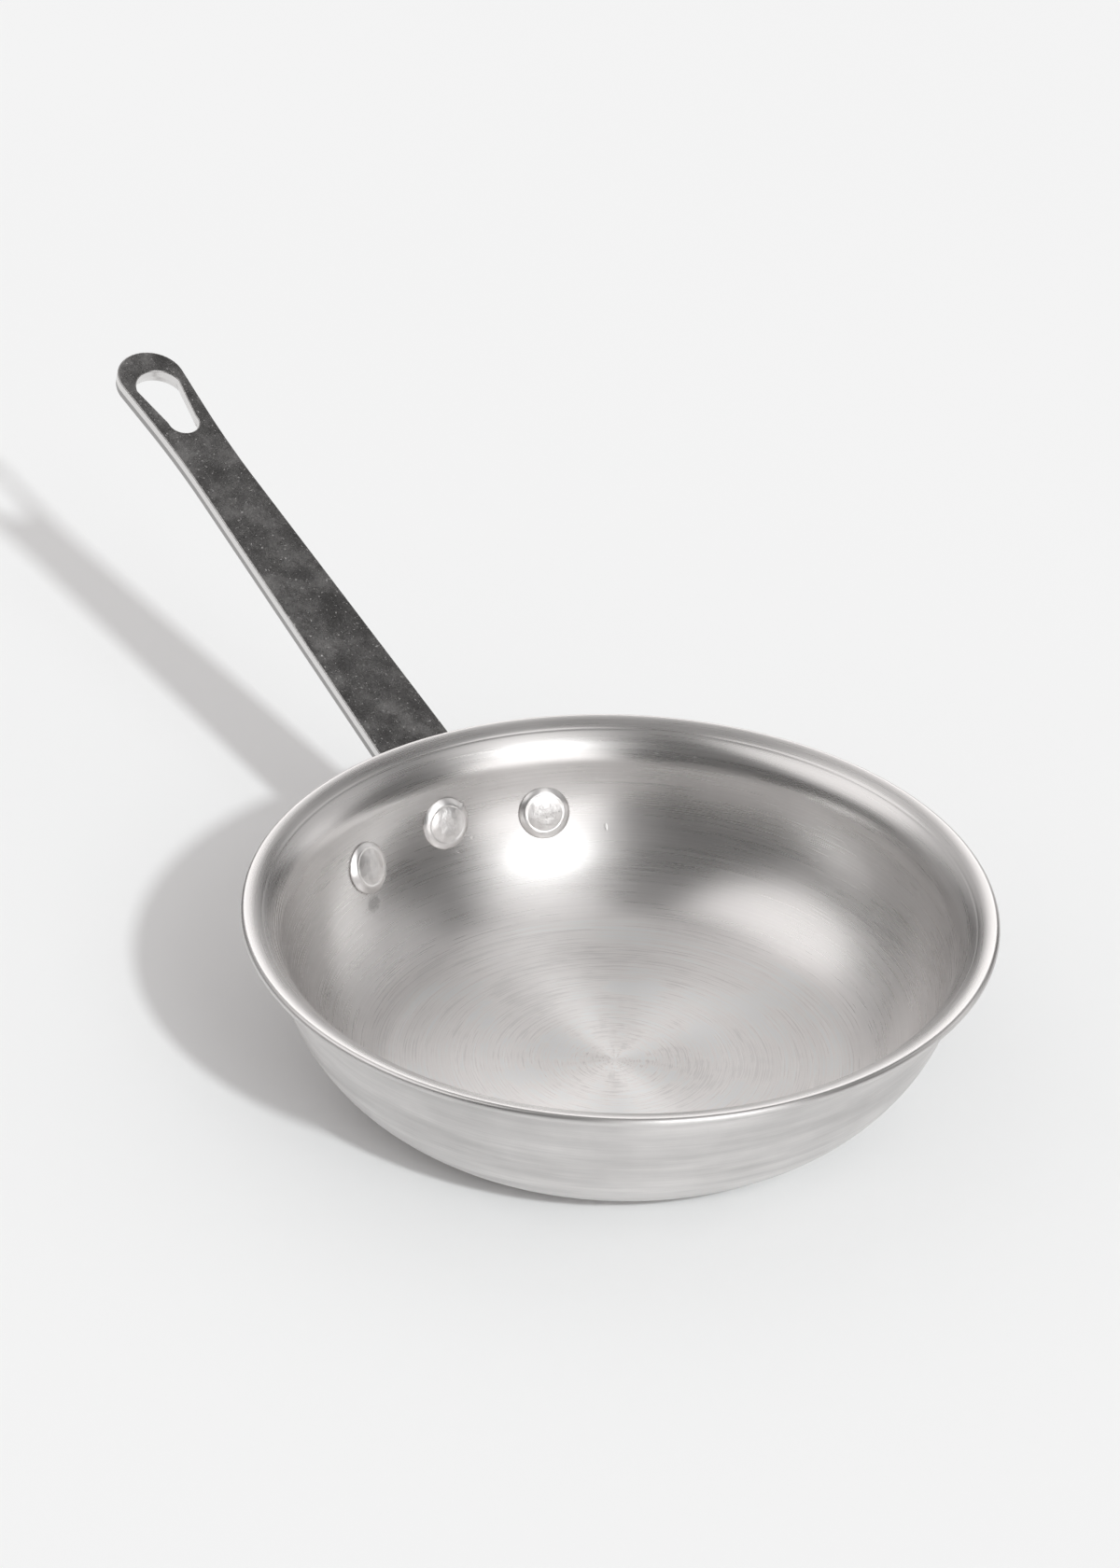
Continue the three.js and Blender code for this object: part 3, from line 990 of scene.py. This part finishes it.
def new_material(name):
    material = bpy.data.materials.new(name)
    material.use_nodes = True
    tree = material.node_tree
    return material, tree, tree.nodes["Principled BSDF"]


def make_spun_aluminium():
    material, tree, sharp_shader = new_material("spun_aluminium")
    wide_shader = add_node(tree, "ShaderNodeBsdfPrincipled")
    coordinates = add_node(tree, "ShaderNodeTexCoord").outputs
    place = coordinates["Object"]
    radius, height, direction = round_the_axis(tree, place)
    zones = bowl_zones(tree, coordinates["Normal"], height, direction)
    patterns = make_patterns(tree, place)
    wear, knocks = wall_wear(tree, place, zones["inside"])
    colour = bowl_colour(tree, patterns, zones, wear)
    by_marks = spread(tree, patterns["marks"], *mark_range, -mark_roughness, mark_roughness)
    by_smears = spread(tree, patterns["smears"], *tone_range, -smear_roughness, smear_roughness)
    uneven = math_node(tree, "ADD", by_marks, by_smears)
    sharp_rough = math_node(tree, "MULTIPLY_ADD", zones["outside"], outside_extra_roughness, uneven)
    sharp_rough = math_node(tree, "ADD", sharp_rough, sharp_roughness)
    by_radius = spread(tree, radius, 0.0, centre_radius * MM, centre_roughness, wide_roughness)
    wide_rough = math_node(tree, "ADD", uneven, by_radius)
    face = add_node(tree, "ShaderNodeNewGeometry").outputs["Normal"]
    leaning = grooved_normal(tree, face, radius, direction, zones["floor"])
    bump_height = math_node(tree, "MULTIPLY_ADD", knocks, knock_height, patterns["hairlines"])
    turned_shader(tree, sharp_shader, colour, sharp_rough, face, bump_height, sharp_anisotropy)
    turned_shader(tree, wide_shader, colour, wide_rough, leaning, bump_height, wide_anisotropy)
    both = add_node(tree, "ShaderNodeMixShader", {
        0: spread(tree, zones["floor"], 0.0, 1.0, wall_wide_share, floor_wide_share),
        1: sharp_shader.outputs[0],
        2: wide_shader.outputs[0],
    })
    tree.links.new(both.outputs[0], tree.nodes["Material Output"].inputs["Surface"])
    return material


bowl.data.materials.append(make_spun_aluminium())
print("bowl finished in spun aluminium")

# %% [markdown]
# The handle's plating is a dull mirror. Fingers and polish have left clouds on its top face, with fine
# pale specks, while its edge keeps the two bands that a punch leaves: a bright one where the steel was
# sheared, and a dull one below, where it tore. A picture could be wrapped round the bar for this, but
# the edge's depth was kept on the mesh before the bar was bent, so the shader can tell the bands apart
# wherever the bar goes.

# %% Where the plating is clouded, dusty or torn
cloud_shift = (0.11, 0.07, 0.0)
cloud_scale = 85.0
grain_scale = 2200.0
speck_scale = 1300.0
top_edge = (0.1, 0.5)
torn_band = (2.55, 4.9)
sand_strength = 0.32


def plating_marks(tree, place, specks):
    """How much a point belongs to the top face, the torn band, the dust, the clouds and the fine sand."""
    depth = add_node(tree, "ShaderNodeAttribute", attribute_name="depth_below_top").outputs["Fac"]
    elsewhere = add_node(tree, "ShaderNodeVectorMath", {0: place, 1: cloud_shift}).outputs[0]
    clouds = object_noise(tree, elsewhere, cloud_scale, 6.0, 0.66)
    grains = object_noise(tree, place, grain_scale, 2.0)
    on_top = spread(tree, depth, *top_edge, 1.0, 0.0)
    below = spread(tree, depth, torn_band[0], torn_band[0] + 0.12, 0.0, 1.0)
    above = spread(tree, depth, torn_band[1], torn_band[1] + 0.2, 1.0, 0.0)
    torn = math_node(tree, "MULTIPLY", below, above)
    dust = math_node(tree, "MULTIPLY", spread(tree, specks, 0.66, 0.78, 0.0, 1.0), on_top)
    smudge = math_node(tree, "MULTIPLY", spread(tree, clouds, 0.34, 0.68, 0.0, 1.0), on_top)
    sand = math_node(tree, "MULTIPLY", spread(tree, grains, 0.3, 0.7, -sand_strength, sand_strength), on_top)
    return on_top, torn, dust, smudge, sand


print("torn band", torn_band, "mm below the top face")

# %% Plated steel for the handle
steel_colour = (0.93, 0.915, 0.905)
top_share = 0.48
torn_share = 0.5
dust_strength = 0.7
clear_share = 0.8
smudge_strength = 0.3
clear_roughness = 0.17
smudged_roughness = 0.36
dust_roughness = 0.3
edge_roughness = 0.1
torn_roughness = 0.15
peel_scale = 420.0
peel_height = 0.03


def make_plated_steel():
    material, tree, shader = new_material("plated_steel")
    place = add_node(tree, "ShaderNodeTexCoord").outputs["Object"]
    specks = object_noise(tree, place, speck_scale, 1.0)
    peel = object_noise(tree, place, peel_scale)
    on_top, torn, dust, smudge, sand = plating_marks(tree, place, specks)
    shade = math_node(tree, "MULTIPLY", spread(tree, on_top, 0.0, 1.0, 1.0, top_share),
                      spread(tree, torn, 0.0, 1.0, 1.0, torn_share))
    shade = math_node(tree, "MULTIPLY", shade, math_node(tree, "MULTIPLY_ADD", dust, dust_strength, 1.0))
    shade = math_node(tree, "MULTIPLY", shade, math_node(tree, "ADD", sand, 1.0))
    clouded = math_node(tree, "MULTIPLY_ADD", smudge, smudge_strength, clear_share)
    shade = math_node(tree, "MULTIPLY", shade, clouded)
    colour = add_node(tree, "ShaderNodeVectorMath", {0: steel_colour, "Scale": shade}, operation="SCALE")
    tree.links.new(colour.outputs[0], shader.inputs["Base Color"])
    rough = math_node(tree, "ADD", spread(tree, smudge, 0.0, 1.0, clear_roughness, smudged_roughness),
                      math_node(tree, "MULTIPLY", dust, dust_roughness))
    rough = math_node(tree, "ADD", rough, spread(tree, on_top, 0.0, 1.0, edge_roughness, 0.0))
    rough = math_node(tree, "MULTIPLY_ADD", torn, torn_roughness, rough)
    tree.links.new(rough, shader.inputs["Roughness"])
    height = math_node(tree, "MULTIPLY_ADD", specks, 0.35, peel)
    bump = add_node(tree, "ShaderNodeBump", {
        "Height": height, "Strength": 1.0, "Distance": peel_height * MM,
    })
    tree.links.new(bump.outputs[0], shader.inputs["Normal"])
    shader.inputs["Metallic"].default_value = 1.0
    return material


handle.data.materials.append(make_plated_steel())
print("handle finished in plated steel")

# %% [markdown]
# The rivets are the brightest pieces. The press has left the shoulder smooth and has roughened the middle
# of the crown, which breaks the reflection into spots there. An even polish would make them look like
# beads, so the roughness and the small bumps fade out from the middle of the crown to the shoulder.

# %% Pressed aluminium for the rivets
rivet_colour = (0.96, 0.945, 0.935)
struck_reach = (0.4, 0.95)
shoulder_share = 0.15
pit_scale = 520.0
spot_scale = 1700.0
pit_shade = 0.84
pressed_roughness = (0.33, 0.46)
pit_height = 0.22


def make_pressed_aluminium():
    material, tree, shader = new_material("pressed_aluminium")
    place = add_node(tree, "ShaderNodeTexCoord").outputs["Object"]
    radius = round_the_axis(tree, place)[0]
    inner, outer = (crown_radius * share * MM for share in struck_reach)
    struck = spread(tree, radius, inner, outer, 1.0, shoulder_share, "SMOOTHSTEP")
    pits = object_noise(tree, place, pit_scale, 4.0, 0.65)
    spots = object_noise(tree, place, spot_scale, 2.0)
    shade = spread(tree, math_node(tree, "MULTIPLY", pits, struck), 0.2, 0.65, 1.0, pit_shade)
    colour = add_node(tree, "ShaderNodeVectorMath", {0: rivet_colour, "Scale": shade}, operation="SCALE")
    tree.links.new(colour.outputs[0], shader.inputs["Base Color"])
    rough = spread(tree, math_node(tree, "MULTIPLY", spots, struck), 0.1, 0.6, *pressed_roughness)
    tree.links.new(rough, shader.inputs["Roughness"])
    height = math_node(tree, "MULTIPLY", math_node(tree, "MULTIPLY_ADD", spots, 0.25, pits), struck)
    bump = add_node(tree, "ShaderNodeBump", {
        "Height": height, "Strength": 1.0, "Distance": pit_height * MM,
    })
    tree.links.new(bump.outputs[0], shader.inputs["Normal"])
    shader.inputs["Metallic"].default_value = 1.0
    return material


pressed_aluminium = make_pressed_aluminium()
for rivet in rivet_pieces:
    rivet.data.materials.append(pressed_aluminium)
print("rivets finished in pressed aluminium")
